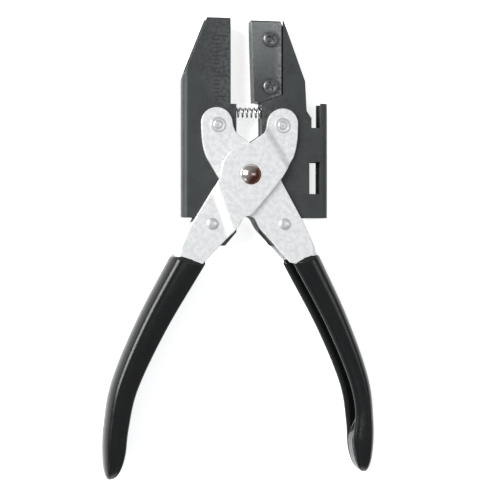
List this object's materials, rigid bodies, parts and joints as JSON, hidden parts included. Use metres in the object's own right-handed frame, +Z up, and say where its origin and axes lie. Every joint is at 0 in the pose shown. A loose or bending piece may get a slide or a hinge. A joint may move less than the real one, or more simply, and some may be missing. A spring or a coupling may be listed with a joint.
{
  "type": "parallel-action punch pliers",
  "caption": "Hand pliers with crossed channel handles, a centre rivet and two jaws that close parallel, one with a bolted blade plate.",
  "frame": {"origin": "middle of the underside of the tool's box as it lies on its back, at rest (open)", "axes": "+Y towards the jaws along the tool, +Z up through the front face, +X to the right seen from the front"},
  "size_m": [0.1374, 0.2274, 0.0213],
  "materials": {
    "phosphate": "dark phosphated sheet, satin",
    "tool_steel": "blued, ground faces",
    "anvil_brass": "milled",
    "blade_steel": "satin ground",
    "dark_screw": "oiled steel",
    "spring_steel": "bright wire",
    "plated_steel": "bright plated, mottled",
    "zinc_fastener": "plated",
    "polished_rivet": "polished dome",
    "grip_vinyl": "dipped vinyl, glossy"
  },
  "bodies": {
    "left_jaw": {"left_cover": "phosphate", "left_bar": "tool_steel", "anvil_strip": "anvil_brass", "anvil_screws": "zinc_fastener", "return_spring": "spring_steel"},
    "back_handle": {"handle_a": "plated_steel", "grip_a": "grip_vinyl", "front_pin_a": "zinc_fastener", "front_washers_a": "zinc_fastener", "rear_pin_a": "zinc_fastener", "slide_sleeve_a": "tool_steel"},
    "front_handle": {"handle_b": "plated_steel", "grip_b": "grip_vinyl", "front_pin_b": "zinc_fastener", "front_washers_b": "zinc_fastener", "rear_pin_b": "zinc_fastener", "slide_sleeve_b": "tool_steel", "centre_rivet": "polished_rivet", "centre_spacer": "tool_steel"},
    "right_jaw": {"right_cover": "phosphate", "right_bar": "tool_steel", "blade_plate": "blade_steel", "blade_screws": "dark_screw"}
  },
  "joints": [
    {"name": "squeeze", "type": "hinge", "parent": "left_jaw", "child": "back_handle", "pos_m": [-0.01232, 0.06068, 0.0095], "axis": [0, 0, -1], "range_deg": [0, 11], "stiffness_Nm_per_rad": 0.8, "springref_deg": -11.46, "deforming": ["return_spring"]},
    {"name": "centre_pivot", "type": "hinge", "parent": "back_handle", "child": "front_handle", "pos_m": [0.00392, 0.03618, 0.0095], "axis": [0, 0, -1], "range_deg": [-22, 0]},
    {"name": "right_jaw_pivot", "type": "hinge", "parent": "front_handle", "child": "right_jaw", "pos_m": [0.02017, 0.06068, 0.0095], "axis": [0, 0, -1], "range_deg": [0, 11]}
  ],
  "couplings": [
    {"joint": "centre_pivot", "follows": "squeeze", "ratio": -2},
    {"joint": "right_jaw_pivot", "follows": "squeeze", "ratio": 1}
  ]
}
